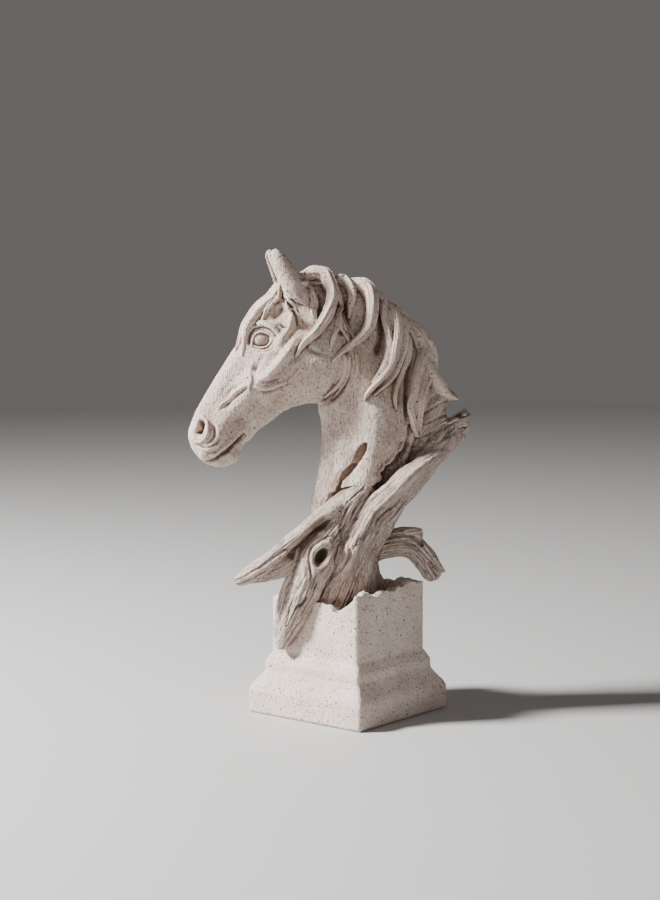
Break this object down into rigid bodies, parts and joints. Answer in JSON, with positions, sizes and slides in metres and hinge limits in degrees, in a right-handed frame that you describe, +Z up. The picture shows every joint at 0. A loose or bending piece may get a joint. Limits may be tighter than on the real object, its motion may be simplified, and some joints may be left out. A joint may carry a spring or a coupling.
{
  "type": "horse head sculpture",
  "caption": "Table sculpture of a horse's head and neck rising from gnarled driftwood on a moulded square plinth with a broken top, cast as one in speckled stone resin.",
  "frame": {"origin": "centre of the plinth's underside", "axes": "+Z up, the horse faces -X, and its left side, which the picture shows, faces -Y; the plinth's corners are on X and Y"},
  "size_m": [0.2318, 0.1644, 0.3797],
  "materials": {
    "stone_resin": "matt, speckled, warm brown in the hollows"
  },
  "bodies": {
    "root": {"horse_head_sculpture": "stone_resin"}
  },
  "joints": []
}
